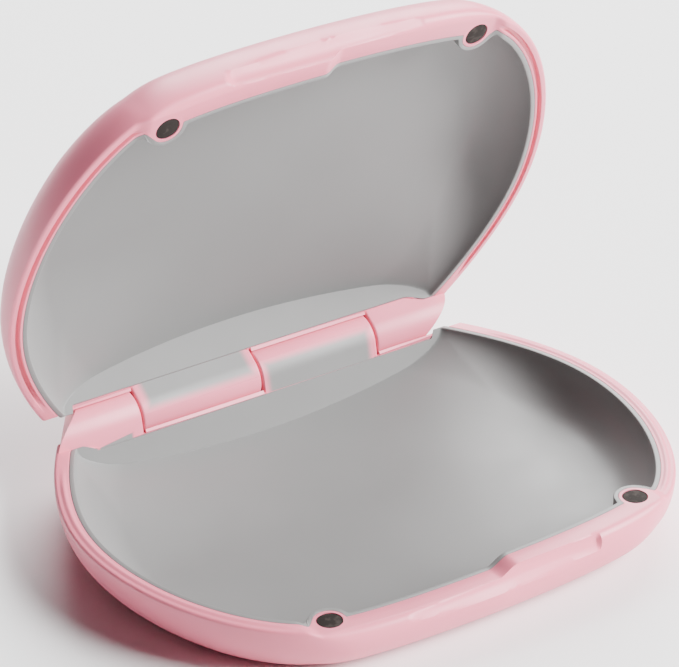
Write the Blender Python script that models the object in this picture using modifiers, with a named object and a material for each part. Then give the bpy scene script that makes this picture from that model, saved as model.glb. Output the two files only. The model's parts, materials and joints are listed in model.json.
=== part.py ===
"""A slim two-tone mouthguard case standing open: two dished halves on a pin hinge of four knuckles.

Everything is first laid out around the hinge axis with the case shut: X along the axis, -Y to the
front, and the parting plane at z = 0. The base hangs below that plane and the lid sits above it.
Each half then hangs from an empty on the axis, and the lid's empty is turned open.
"""

import math
from functools import partial

import bmesh
import bpy
from mathutils import Vector

MM = 0.001

# Whole case
HALF_THICKNESS = 10.1 * MM
FRONT_Y = -73.8 * MM
UNDERSIDE_CENTRE_TO_HINGE = 35.0 * MM
OPEN_ANGLE = math.radians(69.3)
BASE, LID = -1, 1

# Plan: the edge's radius, in millimetres, after it has turned so many degrees from the front centre
PLAN_RADII = ((0, 352), (12, 30), (24, 16.6), (40, 23.6), (60, 45.4), (80, 52.6), (100, 38.8), (125, 91))
PLAN_TURN = 125
PLAN_TAIL = 30.0 * MM
TURN_STEP = 0.25
STATION_SPACING = 4.4 * MM

# Section through the wall, as insets from the plan's edge
WALL_RUNS = ((0, 7.7), (30, 9.1), (60, 8.1), (90, 9.2), (130, 10.1))
WALL_SEGMENTS = 5
EDGE_ROUND = 0.5 * MM
PARTING_GAP = 0.15 * MM
FIT_GAP = 0.3 * MM
LINER_THICKNESS = 0.8 * MM
LINER_RIM_OUTER = 2.45 * MM
CAVITY_RIM = 3.3 * MM
FRONT_LAND = 1.75 * MM
FRONT_LAND_TURNS = (10, 28)
FLOOR_INSET = 11.0 * MM
CAVITY_DEPTH = 8.0 * MM
TOP_LAND = 9.0 * MM
CLEAR = 2.0 * MM

# The dish grows shallower towards the hinge, and more so in its two back corners
RISE_START_Y = -34.0 * MM
RISE_END_Y = -6.0 * MM
RISE_MIDDLE = 0.28 * MM
RISE_CORNER = 2.4 * MM
RISE_CORNER_X = 28.0 * MM
RISE_LIMIT_X = 36.4 * MM
FLOOR_CENTRE_Y = -38.0 * MM

# Tongue on the base's rim and groove in the lid's, which die out towards the front magnets
TONGUE = (1.35 * MM, 1.40 * MM, 1.65 * MM, 1.70 * MM)
TONGUE_HEIGHT = 0.4 * MM
GROOVE = (1.15 * MM, 1.20 * MM, 1.85 * MM, 1.90 * MM)
GROOVE_DEPTH = 0.6 * MM
SEAL_TURNS = (30, 42, 112, 122)

# The front stretch of the parting line steps down on the left and up on the right
PARTING_STEP = 0.76 * MM
STEP_CENTRE = 0.55 * MM
STEP_HALF_RAMP = 1.9 * MM
STEP_END = 33.5 * MM
STEP_END_RAMP = 0.5 * MM
STEP_BACK = -55.0 * MM

# Thumb scoop across the front of both halves
SCOOP_RADIUS = 3.25 * MM
SCOOP_Y = -75.65 * MM
SCOOP_HALF_LENGTH = 19.0 * MM

# Magnets and their bosses
MAGNET_X = 28.9 * MM
MAGNET_Y = -67.4 * MM
MAGNET_RADIUS = 2.0 * MM
MAGNET_THICKNESS = 1.6 * MM
MAGNET_SINK = 0.05 * MM
BOSS_RADIUS = 2.6 * MM
COLUMN_RADIUS = 3.4 * MM

# Hinge
KNUCKLE_RADIUS = 4.3 * MM
RELIEF_RADIUS = 4.7 * MM
SPLIT_X = 23.2 * MM
END_X = 48.0 * MM
PIN_RADIUS = 0.75 * MM
PIN_LEFT = -34.5 * MM
PIN_RIGHT = 35.2 * MM
PIN_CHAMFER = 0.2 * MM
CREASE_Y = -5.0 * MM
CREASE_DEPTH = 1.5 * MM
LEDGE_SLOPE = 0.172
LIP_DEPTH = 0.85 * MM
TROUGH_HALF_LENGTH = 36.0 * MM
BACK_Y = -1.6 * MM
BACK_DEPTH = 4.5 * MM
BACK_SLOPE = 0.2
BACK_ROUND = 2.0 * MM
KNUCKLE_FOOT = (-4.0 * MM, 4.6 * MM)
KNUCKLE_INSET = 0.1 * MM
ROUND_SEGMENTS = 32
BORE_SEGMENTS = 16

OWN_ZONES = {BASE: ((-END_X, -SPLIT_X), (0.0, SPLIT_X)), LID: ((-SPLIT_X, 0.0), (SPLIT_X, END_X))}
HALF_NAMES = {BASE: "base", LID: "lid"}


def clear_scene():
    for leftover in list(bpy.data.objects):
        bpy.data.objects.remove(leftover)


def between(pairs, at):
    """The value at a place in a list of (place, value) pairs, straight between its neighbours."""
    for (start, low), (end, high) in zip(pairs, pairs[1:]):
        if at <= end:
            return low + (high - low) * (at - start) / (end - start)
    return pairs[-1][1]


def smooth_step(value, start, end):
    share = min(max((value - start) / (end - start), 0.0), 1.0)
    return share * share * (3 - 2 * share)


def plan_half():
    """Stations on the right half of the plan's edge: x, y, outward normal x and y, degrees turned."""
    log_radii = [(turn, math.log(radius)) for turn, radius in PLAN_RADII]
    x, y, run, due = 0.0, FRONT_Y, 0.0, 0.0
    stations = []
    for count in range(round(PLAN_TURN / TURN_STEP)):
        turn = count * TURN_STEP
        if run >= due:
            angle = math.radians(turn)
            stations.append((x, y, math.sin(angle), -math.cos(angle), turn))
            due += STATION_SPACING
        heading = math.radians(turn + TURN_STEP / 2)
        step = math.exp(between(log_radii, turn + TURN_STEP / 2)) * MM * math.radians(TURN_STEP)
        x += step * math.cos(heading)
        y += step * math.sin(heading)
        run += step
    angle = math.radians(PLAN_TURN)
    normal = (math.sin(angle), -math.cos(angle))
    stations.append((x, y, *normal, PLAN_TURN))
    x += PLAN_TAIL * math.cos(angle)
    y += PLAN_TAIL * math.sin(angle)
    stations.append((x, y, *normal, PLAN_TURN))
    return stations


def plan_stations():
    right = plan_half()
    left = [(-x, y, -normal_x, normal_y, turn) for x, y, normal_x, normal_y, turn in right[:0:-1]]
    return left + right


STATIONS = plan_stations()


def parting_height(x, y):
    """How far the parting line sits above the parting plane."""
    if y > STEP_BACK:
        return 0.0
    rise = 2 * smooth_step(x, STEP_CENTRE - STEP_HALF_RAMP, STEP_CENTRE + STEP_HALF_RAMP) - 1
    fade = 1 - smooth_step(abs(x), STEP_END - STEP_END_RAMP, STEP_END + STEP_END_RAMP)
    return PARTING_STEP * rise * fade


def seal_share(turn):
    """How much of the tongue and groove is there: none at the front and at the hinge."""
    first, full, last, gone = SEAL_TURNS
    return smooth_step(turn, first, full) * (1 - smooth_step(turn, last, gone))


def ring(side, inset, depth, follow=0.0):
    """A loop round the plan. Inset and depth are numbers, or functions of the degrees turned."""
    points = []
    for x, y, normal_x, normal_y, turn in STATIONS:
        here = inset(turn) if callable(inset) else inset
        down = depth(turn) if callable(depth) else depth
        px, py = x - here * normal_x, y - here * normal_y
        points.append((px, py, side * down + follow * parting_height(px, py)))
    return points


def new_object(name, bm, half, collection):
    """An object from the bmesh, hung from its half's empty on the hinge axis."""
    bmesh.ops.recalc_face_normals(bm, faces=bm.faces)
    mesh = bpy.data.meshes.new(name)
    bm.to_mesh(mesh)
    bm.free()
    made = bpy.data.objects.new(name, mesh)
    collection.objects.link(made)
    made.parent = half
    return made


def loft(rings):
    """A closed form through the rings, with its two ends filled."""
    bm = bmesh.new()
    loops = [[bm.verts.new(point) for point in points] for points in rings]
    count = len(loops[0])
    for first, second in zip(loops, loops[1:]):
        for at in range(count):
            after = (at + 1) % count
            bm.faces.new((first[at], first[after], second[after], second[at]))
    bmesh.ops.triangulate(bm, faces=bm.faces[:])
    bm.faces.new(loops[0])
    bm.faces.new(loops[-1])
    return bm


def keep_in_front_of_ledge(bm, side, behind):
    """Cuts the form off at the ledge's plane, moved back by so much."""
    bmesh.ops.bisect_plane(
        bm,
        geom=bm.verts[:] + bm.edges[:] + bm.faces[:],
        plane_co=(0, CREASE_Y + behind, side * CREASE_DEPTH),
        plane_no=(0, 1, side * LEDGE_SLOPE),
        clear_outer=True,
    )
    bmesh.ops.holes_fill(bm, edges=[edge for edge in bm.edges if edge.is_boundary])
    return bm


def quarter_turns():
    return [math.pi / 2 * step / WALL_SEGMENTS for step in range(WALL_SEGMENTS + 1)]


def front_land(turn):
    """How much wider the pink rim is here: it broadens across the front."""
    return FRONT_LAND * (1 - smooth_step(turn, *FRONT_LAND_TURNS))


def outer_form(side):
    """The half as one solid lump: domed wall, rounded edge and the rim with its tongue or groove."""
    rings = [ring(side, TOP_LAND + FIT_GAP, PARTING_GAP)]
    rings.append(ring(side, TOP_LAND, PARTING_GAP, 1))
    rings.append(ring(side, LINER_RIM_OUTER, PARTING_GAP, 1))
    insets = TONGUE if side == BASE else GROOVE
    depth = -TONGUE_HEIGHT if side == BASE else GROOVE_DEPTH
    for inset, share in zip(insets[::-1], (0, 1, 1, 0)):
        height = depth * share
        rings.append(ring(side, inset, lambda turn, h=height: PARTING_GAP + h * seal_share(turn), 1))
    for angle in (0, math.pi / 4, math.pi / 2):
        inset = EDGE_ROUND * (1 - math.sin(angle))
        rings.append(ring(side, inset, PARTING_GAP + EDGE_ROUND * (1 - math.cos(angle)), 1))
    start = PARTING_GAP + EDGE_ROUND
    for angle in quarter_turns()[1:]:
        depth = start + (HALF_THICKNESS - start) * math.sin(angle)
        share = 1 - math.cos(angle)
        rings.append(ring(side, lambda t, s=share: between(WALL_RUNS, t) * MM * s, depth, 1 - math.sin(angle)))
    return loft(rings)


def floor_rise(x, y):
    """How much shallower the dish's floor is here than at its deepest."""
    corner = (min(abs(x), RISE_LIMIT_X) / RISE_CORNER_X) ** 2
    return smooth_step(y, RISE_START_Y, RISE_END_Y) * (RISE_MIDDLE + RISE_CORNER * corner)


def dished(points, side, depth, share):
    """The loop laid on the dish, at a share of the way down to its floor."""
    return [(x, y, side * (depth - floor_rise(x, y)) * share) for x, y, _ in points]


def wall_inset(rim, floor, share, turn):
    """The dish's inset at a share of the way in from its rim to its floor."""
    top = rim + front_land(turn)
    return top + (floor - top) * share


def bowl_form(side, rim, floor, depth):
    """The dished form inside the half, open well past the parting plane."""
    rings = [ring(side, lambda turn: rim + front_land(turn), -CLEAR)]
    for angle in quarter_turns():
        inset = partial(wall_inset, rim, floor, 1 - math.cos(angle))
        loop = ring(side, inset, 0)
        rings.append(dished(loop, side, depth, math.sin(angle)))
    for share in (0.7, 0.35):
        inner = [(x * share, FLOOR_CENTRE_Y + (y - FLOOR_CENTRE_Y) * share, 0) for x, y, _ in loop]
        rings.append(dished(inner, side, depth, 1))
    return loft(rings)


def prism(section, start, end):
    """A (y, z) section drawn along X."""
    bm = bmesh.new()
    face = bm.faces.new([bm.verts.new((start, y, z)) for y, z in section])
    grown = bmesh.ops.extrude_face_region(bm, geom=[face])["geom"]
    moved = [item for item in grown if isinstance(item, bmesh.types.BMVert)]
    bmesh.ops.translate(bm, verts=moved, vec=(end - start, 0, 0))
    return bm


def circle_points(radius, start, end, count):
    """Points (y, z) round the hinge axis, by degrees up from the front."""
    angles = [math.radians(start + (end - start) * step / count) for step in range(count + 1)]
    return [(-radius * math.cos(angle), radius * math.sin(angle)) for angle in angles]


def ledge_y(depth):
    return CREASE_Y - LEDGE_SLOPE * (depth - CREASE_DEPTH)


def rod(radius, start, end, centre, axis, segments):
    """A cylinder along X or Z."""
    bm = bmesh.new()
    bmesh.ops.create_cone(
        bm, cap_ends=True, segments=segments, radius1=radius, radius2=radius, depth=end - start
    )
    middle = (start + end) / 2
    if axis == "X":
        bmesh.ops.rotate(bm, verts=bm.verts, matrix=Vector((0, 0, 1)).rotation_difference(
            Vector((1, 0, 0))).to_matrix())
        bmesh.ops.translate(bm, verts=bm.verts, vec=(middle, *centre))
    else:
        bmesh.ops.translate(bm, verts=bm.verts, vec=(*centre, middle))
    return bm


def merged(parts):
    """Several bmeshes as one."""
    whole = bmesh.new()
    for part in parts:
        mesh = bpy.data.meshes.new("part")
        part.to_mesh(mesh)
        part.free()
        whole.from_mesh(mesh)
        bpy.data.meshes.remove(mesh)
    return whole


def boolean(target, cutter, operation):
    modifier = target.modifiers.new(cutter.name, "BOOLEAN")
    modifier.operation = operation
    modifier.solver = "EXACT"
    modifier.object = cutter


def smooth(made):
    made.data.shade_smooth()
    made.data.set_sharp_from_angle(angle=math.radians(30))


def finish(name, colour, roughness, metallic):
    made = bpy.data.materials.new(name)
    made.use_nodes = True
    shader = made.node_tree.nodes["Principled BSDF"]
    shader.inputs["Base Color"].default_value = (*colour, 1)
    shader.inputs["Roughness"].default_value = roughness
    shader.inputs["Metallic"].default_value = metallic
    return made


def knuckle_section(side):
    """The round knuckle with the spur that carries it down to the crease and the back wall."""
    bm = bmesh.new()
    turn = 360 / ROUND_SEGMENTS
    outline = circle_points(KNUCKLE_RADIUS, 0, 360 - turn, ROUND_SEGMENTS - 1)
    outline += [(CREASE_Y, side * CREASE_DEPTH), (KNUCKLE_FOOT[0], side * KNUCKLE_FOOT[1])]
    verts = [bm.verts.new((0, y, z)) for y, z in outline]
    hull = bmesh.ops.convex_hull(bm, input=verts)
    inside = {item for item in hull["geom_interior"] if isinstance(item, bmesh.types.BMVert)}
    points = [(vert.co.y, vert.co.z) for vert in verts if vert.is_valid and vert not in inside]
    bm.free()
    return sorted(points, key=lambda point: math.atan2(point[1], point[0] - BACK_Y))


def cutter(name, bm, half, cutters):
    made = new_object(name, bm, half, cutters)
    made.hide_render = True
    made.display_type = "WIRE"
    return made


def back_section(side):
    """What is taken away behind the body: down its steep back and round into its flat face."""
    round_y = BACK_Y - BACK_SLOPE * (HALF_THICKNESS - BACK_DEPTH)
    arc = []
    for step in range(WALL_SEGMENTS + 1):
        angle = math.pi / 2 * step / WALL_SEGMENTS
        arc.append((
            round_y - BACK_ROUND * (1 - math.cos(angle)),
            HALF_THICKNESS - BACK_ROUND * (1 - math.sin(angle)),
        ))
    far = HALF_THICKNESS + CLEAR
    points = [(BACK_Y, -CLEAR), (BACK_Y, BACK_DEPTH), *arc, (arc[-1][0], far), (PLAN_TAIL, far)]
    points.append((PLAN_TAIL, -CLEAR))
    return [(y, side * depth) for y, depth in points]


def relief_section(side):
    """The clearance round the other half's knuckles, open above the lip."""
    low = math.degrees(math.asin(LIP_DEPTH / RELIEF_RADIUS))
    arc = circle_points(RELIEF_RADIUS, low, 180, ROUND_SEGMENTS // 2)
    high = -HALF_THICKNESS
    front = ledge_y(LIP_DEPTH) - FIT_GAP
    points = [(front, high), (front, LIP_DEPTH), *arc, (RELIEF_RADIUS, high)]
    return [(y, side * depth) for y, depth in points]


def make_knuckles(side, half, cutters):
    """Both of the half's knuckles, trimmed at the outer end to the case's plan."""
    section = knuckle_section(side)
    reach = 3 * PARTING_GAP
    parts = []
    for start, end in OWN_ZONES[side]:
        parts.append(prism(section, start - reach, end + reach))
    name = HALF_NAMES[side]
    knuckles = cutter(f"{name}_knuckles", merged(parts), half, cutters)
    edge = loft([ring(side, KNUCKLE_INSET, depth) for depth in (-HALF_THICKNESS, HALF_THICKNESS)])
    boolean(knuckles, cutter(f"{name}_plan_edge", edge, half, cutters), "INTERSECT")
    return knuckles


def make_relief(side, half, cutters):
    """Room for the other half's knuckles: it reaches a little way past each split."""
    section = relief_section(side)
    parts = [
        prism(section, start - PARTING_GAP, end + PARTING_GAP) for start, end in OWN_ZONES[-side]
    ]
    return cutter(f"{HALF_NAMES[side]}_relief", merged(parts), half, cutters)


def make_trough(side, half, cutters):
    """Takes the body down to the crease along its own knuckles."""
    high = -HALF_THICKNESS
    front, rear = CREASE_Y - FIT_GAP, BACK_Y + CLEAR
    points = [(front, high), (front, CREASE_DEPTH), (rear, CREASE_DEPTH), (rear, high)]
    section = [(y, side * depth) for y, depth in points]
    parts = []
    for start, end in OWN_ZONES[side]:
        low = max(start - 2 * PARTING_GAP, -TROUGH_HALF_LENGTH)
        parts.append(prism(section, low, min(end + 2 * PARTING_GAP, TROUGH_HALF_LENGTH)))
    return cutter(f"{HALF_NAMES[side]}_trough", merged(parts), half, cutters)


def make_rods(name, side, radius, half, cutters, reach=None):
    """A pair of upright rods at the magnets, through the half or down to a reach."""
    parts = []
    for x in (-MAGNET_X, MAGNET_X):
        height = parting_height(x, MAGNET_Y)
        ends = sorted((height - side * CLEAR, height + side * (reach or HALF_THICKNESS + CLEAR)))
        parts.append(rod(radius, *ends, (x, MAGNET_Y), "Z", ROUND_SEGMENTS // 2))
    return cutter(f"{HALF_NAMES[side]}_{name}", merged(parts), half, cutters)


def make_pocket(side, half, cutters):
    """The hollow in the shell that the liner fills, with the bosses left standing in it."""
    name = HALF_NAMES[side]
    form = bowl_form(
        side,
        LINER_RIM_OUTER - FIT_GAP,
        FLOOR_INSET - LINER_THICKNESS,
        CAVITY_DEPTH + LINER_THICKNESS + FIT_GAP,
    )
    keep_in_front_of_ledge(form, side, LINER_THICKNESS + FIT_GAP)
    pocket = cutter(f"{name}_pocket", form, half, cutters)
    boolean(pocket, make_rods("boss_rods", side, BOSS_RADIUS, half, cutters), "DIFFERENCE")
    round_hinge = rod(RELIEF_RADIUS + FIT_GAP, -END_X, END_X, (0, 0), "X", ROUND_SEGMENTS)
    boolean(pocket, cutter(f"{name}_hinge_wall", round_hinge, half, cutters), "DIFFERENCE")
    top = CREASE_DEPTH - FIT_GAP
    high = -HALF_THICKNESS
    points = [(ledge_y(high), high), (ledge_y(top), top), (CLEAR, top), (CLEAR, high)]
    lip = prism([(y, side * depth) for y, depth in points], -END_X, END_X)
    boolean(pocket, cutter(f"{name}_lip_block", lip, half, cutters), "DIFFERENCE")
    return pocket


def make_shell(side, half, parts, cutters):
    name = HALF_NAMES[side]
    shell = new_object(f"{name}_shell", outer_form(side), half, parts)
    back = prism(back_section(side), -END_X - CLEAR, END_X + CLEAR)
    boolean(shell, cutter(f"{name}_back", back, half, cutters), "DIFFERENCE")
    boolean(shell, make_trough(side, half, cutters), "DIFFERENCE")
    boolean(shell, make_knuckles(side, half, cutters), "UNION")
    boolean(shell, make_relief(side, half, cutters), "DIFFERENCE")
    boolean(shell, make_pocket(side, half, cutters), "DIFFERENCE")
    scoop = rod(
        SCOOP_RADIUS, -SCOOP_HALF_LENGTH, SCOOP_HALF_LENGTH, (SCOOP_Y, 0), "X", ROUND_SEGMENTS
    )
    boolean(shell, cutter(f"{name}_scoop", scoop, half, cutters), "DIFFERENCE")
    depth = PARTING_GAP + MAGNET_SINK + MAGNET_THICKNESS + FIT_GAP
    sockets = make_rods("magnet_sockets", side, MAGNET_RADIUS + FIT_GAP, half, cutters, depth)
    boolean(shell, sockets, "DIFFERENCE")
    bore = rod(PIN_RADIUS + FIT_GAP, PIN_LEFT - FIT_GAP, END_X, (0, 0), "X", BORE_SEGMENTS)
    boolean(shell, cutter(f"{name}_bore", bore, half, cutters), "DIFFERENCE")
    return shell


def make_liner(side, half, parts, cutters):
    name = HALF_NAMES[side]
    form = bowl_form(
        side, LINER_RIM_OUTER, FLOOR_INSET - LINER_THICKNESS + FIT_GAP, CAVITY_DEPTH + LINER_THICKNESS
    )
    keep_in_front_of_ledge(form, side, LINER_THICKNESS)
    liner = new_object(f"{name}_liner", form, half, parts)
    hollow = keep_in_front_of_ledge(bowl_form(side, CAVITY_RIM, FLOOR_INSET, CAVITY_DEPTH), side, 0)
    cavity = cutter(f"{name}_cavity", hollow, half, cutters)
    boolean(cavity, make_rods("column_rods", side, COLUMN_RADIUS, half, cutters), "DIFFERENCE")
    boolean(liner, cavity, "DIFFERENCE")
    boss_room = make_rods("boss_room", side, BOSS_RADIUS + FIT_GAP, half, cutters)
    boolean(liner, boss_room, "DIFFERENCE")
    hinge_room = rod(RELIEF_RADIUS + 2 * FIT_GAP, -END_X, END_X, (0, 0), "X", ROUND_SEGMENTS)
    boolean(liner, cutter(f"{name}_hinge_room", hinge_room, half, cutters), "DIFFERENCE")
    boolean(liner, make_rim_trim(side, half, cutters), "DIFFERENCE")
    return liner


def make_rim_trim(side, half, cutters):
    """Levels the liner with the rim all round, and stops its back wall just under the crease."""
    upper = ring(side, -CLEAR, -HALF_THICKNESS)
    lower = ring(side, -CLEAR, PARTING_GAP, 1)
    inner = ring(side, TOP_LAND, PARTING_GAP, 1)
    last = ring(side, TOP_LAND + FIT_GAP, PARTING_GAP)
    top = CREASE_DEPTH + FIT_GAP
    low, high = sorted((side * top, -side * HALF_THICKNESS))
    front = CREASE_Y - 2 * FIT_GAP
    section = [(front, low), (CLEAR, low), (CLEAR, high), (front, high)]
    rim = cutter(f"{HALF_NAMES[side]}_rim_trim", loft([upper, lower, inner, last]), half, cutters)
    crease = prism(section, -TROUGH_HALF_LENGTH, TROUGH_HALF_LENGTH)
    boolean(rim, cutter(f"{HALF_NAMES[side]}_crease_trim", crease, half, cutters), "UNION")
    return rim


def make_magnet(side, x, half, parts):
    place = "left" if x < 0 else "right"
    face = parting_height(x, MAGNET_Y) + side * (PARTING_GAP + MAGNET_SINK)
    ends = sorted((face, face + side * MAGNET_THICKNESS))
    disc = rod(MAGNET_RADIUS, *ends, (x, MAGNET_Y), "Z", ROUND_SEGMENTS // 2)
    return new_object(f"{HALF_NAMES[side]}_magnet_{place}", disc, half, parts)


def make_pin(half, parts):
    """The hinge's steel pin: a chamfered profile turned round the axis."""
    bm = bmesh.new()
    profile = (
        (0, PIN_RIGHT), (PIN_RADIUS - PIN_CHAMFER, PIN_RIGHT), (PIN_RADIUS, PIN_RIGHT - PIN_CHAMFER),
        (PIN_RADIUS, PIN_LEFT + PIN_CHAMFER), (PIN_RADIUS - PIN_CHAMFER, PIN_LEFT), (0, PIN_LEFT),
    )
    verts = [bm.verts.new((radius, 0, z)) for radius, z in profile]
    for first, second in zip(verts, verts[1:]):
        bm.edges.new((first, second))
    pin = new_object("hinge_pin", bm, half, parts)
    turned = pin.modifiers.new("turned", "SCREW")
    turned.steps = turned.render_steps = BORE_SEGMENTS
    turned.use_merge_vertices = True
    turned.merge_threshold = 0.00001
    pin.rotation_euler = (0, math.pi / 2, 0)
    return pin


def main():
    clear_scene()
    parts = bpy.data.collections.new("mouthguard_case")
    cutters = bpy.data.collections.new("cutters")
    scene = bpy.context.scene.collection
    scene.children.link(parts)
    scene.children.link(cutters)
    pink = finish("pink_plastic", (0.72, 0.42, 0.47), 0.35, 0)
    grey = finish("grey_liner", (0.45, 0.45, 0.45), 0.5, 0)
    dark = finish("coated_magnet", (0.04, 0.035, 0.033), 0.4, 0.5)
    steel = finish("steel_pin", (0.6, 0.6, 0.62), 0.3, 1)
    halves = {}
    for side in (BASE, LID):
        half = bpy.data.objects.new(f"{HALF_NAMES[side]}_hinge_axis", None)
        parts.objects.link(half)
        half.location = (0, UNDERSIDE_CENTRE_TO_HINGE, HALF_THICKNESS)
        halves[side] = half
        make_shell(side, half, parts, cutters).data.materials.append(pink)
        make_liner(side, half, parts, cutters).data.materials.append(grey)
        for x in (-MAGNET_X, MAGNET_X):
            make_magnet(side, x, half, parts).data.materials.append(dark)
    make_pin(halves[BASE], parts).data.materials.append(steel)
    halves[LID].rotation_euler = (-OPEN_ANGLE, 0, 0)
    for made in parts.objects:
        if made.type == "MESH":
            smooth(made)


main()
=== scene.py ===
"""Slim two-tone mouthguard case: fine shells, liners, magnets and hinge pin built round its plain solids.

Every form is laid out with the case shut, round the hinge axis: X along the axis, -Y to the front and
the parting plane at z = 0, with the base below it and the lid above. The lid is then turned open.
"""

import functools
import json
import math

import bmesh
import bpy
import numpy as np
from bpy.props import FloatProperty, FloatVectorProperty, PointerProperty
from mathutils import Matrix, Vector


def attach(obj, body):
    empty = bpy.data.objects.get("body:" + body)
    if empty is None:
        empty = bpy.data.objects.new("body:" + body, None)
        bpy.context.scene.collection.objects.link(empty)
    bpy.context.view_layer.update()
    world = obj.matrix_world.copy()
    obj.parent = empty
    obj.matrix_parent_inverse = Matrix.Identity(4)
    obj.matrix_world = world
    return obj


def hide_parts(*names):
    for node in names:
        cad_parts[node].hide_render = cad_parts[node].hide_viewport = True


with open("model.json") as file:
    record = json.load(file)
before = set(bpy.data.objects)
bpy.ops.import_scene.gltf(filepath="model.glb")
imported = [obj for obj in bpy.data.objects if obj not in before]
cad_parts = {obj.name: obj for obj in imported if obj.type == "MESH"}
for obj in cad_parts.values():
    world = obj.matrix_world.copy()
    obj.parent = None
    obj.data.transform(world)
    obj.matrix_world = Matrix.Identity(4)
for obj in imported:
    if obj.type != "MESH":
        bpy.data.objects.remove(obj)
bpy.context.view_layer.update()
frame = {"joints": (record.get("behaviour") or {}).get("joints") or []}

bl_info = {
    "name": "Mouthguard Case",
    "version": (1, 0, 0),
    "blender": (4, 5, 0),
    "location": "View3D > Sidebar > Case",
    "description": "Builds a slim hinged mouthguard case with a dished liner in each half",
    "category": "Add Mesh",
}

MM = 0.001
BASE, LID = -1, 1
HALF_NAMES = {BASE: "base", LID: "lid"}
HINGE = Vector(frame["joints"][0]["pos_m"])
OPEN_ANGLE = -math.radians(frame["joints"][0]["range_deg"][0])

# Plan: the edge's radius, in millimetres, after it has turned so many degrees from the front centre
PLAN_RADII = ((0, 352), (12, 30), (24, 16.6), (40, 23.6), (60, 45.4), (80, 52.6), (100, 38.8), (125, 91))
PLAN_TURN = 125.0
PLAN_TAIL = 30 * MM
PLAN_FRONT = -73.8 * MM
PLAN_STEPS = 5000
WALL_RUNS = ((0, 7.7), (30, 9.1), (60, 8.1), (90, 9.2), (130, 10.1))
STATION_SPACING = 1.0 * MM
FINE_SPACING = 0.3 * MM
FINE_AT_FRONT = ((-1.6 * MM, 2.7 * MM), (13.5 * MM, 36.0 * MM))
FINE_AT_BACK = (-7.0 * MM, 1.0 * MM)

PARTING_GAP = 0.15 * MM
EDGE_ROUND = 0.5 * MM
FRONT_ROUND = 1.5 * MM
RIM_CORNER = ((0, 0.12 * MM), (0.03 * MM, 0.03 * MM), (0.1 * MM, 0))
RIM_BLEND = 0.4 * MM
SKIN_GAP = 0.02 * MM
LINER_EDGE = 2.4 * MM
LINER_THICKNESS = 0.8 * MM
LINER_ROUND = 0.22 * MM
CAVITY_RIM = 3.3 * MM
FRONT_LAND = 1.75 * MM
FRONT_LAND_TURNS = (10, 28)
FLOOR_INSET = 11.0 * MM
CAVITY_DEPTH = 8.0 * MM
RISE_Y = (-34.0 * MM, -6.0 * MM)
RISE_MIDDLE = 0.28 * MM
RISE_CORNER = 2.4 * MM
RISE_CORNER_X = 28.0 * MM
RISE_LIMIT_X = 36.4 * MM
FLOOR_CENTRE_Y = -38.0 * MM
OUTER_LOOPS, OUTER_SHARES = 12, (0.75, 0.4, 0.1)
INNER_LOOPS, INNER_SHARES = 26, (0.94, 0.87, 0.79, 0.7, 0.6, 0.5, 0.4, 0.3, 0.2, 0.1, 0.03)

PARTING_STEP = 0.76 * MM
STEP_CENTRE = 0.55 * MM
STEP_HALF_RAMP = 1.9 * MM
STEP_END = 33.0 * MM
STEP_END_RAMP = 1.2 * MM
STEP_BACK = -55.0 * MM
SEAL_TURNS = (30, 42, 115, 122)
GROOVE_ROUND = 0.1 * MM
RIDGE_INSETS = (0.75 * MM, 2.15 * MM)

SCOOP_Y = -75.65 * MM
SCOOP_LEFT = -17.0 * MM
SCOOP_RIGHT = (17.45 * MM, 17.75 * MM)
SCOOP_BLEND = 0.5 * MM

MAGNET_X = 28.9 * MM
MAGNET_Y = -67.4 * MM
MAGNET_SINK = 0.05 * MM
MAGNET_FIT = 0.06 * MM
MAGNET_ROUND = 0.18 * MM
BOSS_RADIUS = 2.6 * MM
BOSS_BLEND = 0.25 * MM
COLUMN_RADIUS = 3.4 * MM
COLUMN_BLEND = 1.0 * MM

SPLIT_X = 23.2 * MM
END_X = 48 * MM
SPLIT_GAP = 0.13 * MM
RELIEF_RADIUS = 4.7 * MM
RELIEF_OVERRUN = 0.1 * MM
TROUGH_OVERRUN = 0.12 * MM
FRONT_OVERRUN = 0.3 * MM
CREASE_Y = -5.0 * MM
CREASE_DEPTH = 1.5 * MM
CREASE_CUT = (-5.6 * MM, 0.12 * MM)
LEDGE_SLOPE = 0.172
LEDGE_BLEND = 0.6 * MM
HINGE_WALL_RADIUS = 5.02 * MM
WALL_LEAST = 0.15 * MM
LIP_DEPTH = 0.85 * MM
OWN_RAMP = (31.0 * MM, 35.8 * MM)
OTHER_RAMP = (33.9 * MM, 34.9 * MM)
LIP_END_X = 34.0 * MM
BACK_Y = -1.6 * MM
BACK_DEPTH = 4.5 * MM
BACK_SLOPE = 0.2
BACK_ROUND = 2.0 * MM
BACK_BLEND = 0.6 * MM
KNUCKLE_CREASE_Y = -4.72 * MM
KNUCKLE_FOOT = (-4.0 * MM, 4.6 * MM)
KNUCKLE_INSET = 0.1 * MM
KNUCKLE_LEAN = 1.9 * MM
KNUCKLE_TRIM = 0.6
WRAP_THICKNESS = 0.5 * MM
WRAP_ROOT = 0.35 * MM
WRAP_REACH = 5.2 * MM
WRAP_SLACK = 0.1 * MM
WRAP_MARGINS = [step * 0.4 * MM for step in range(6)]
CLEAR = 2 * MM
OWN_ZONES = {BASE: ((-END_X, -SPLIT_X), (0.0, SPLIT_X)), LID: ((-SPLIT_X, 0.0), (SPLIT_X, END_X))}
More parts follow.
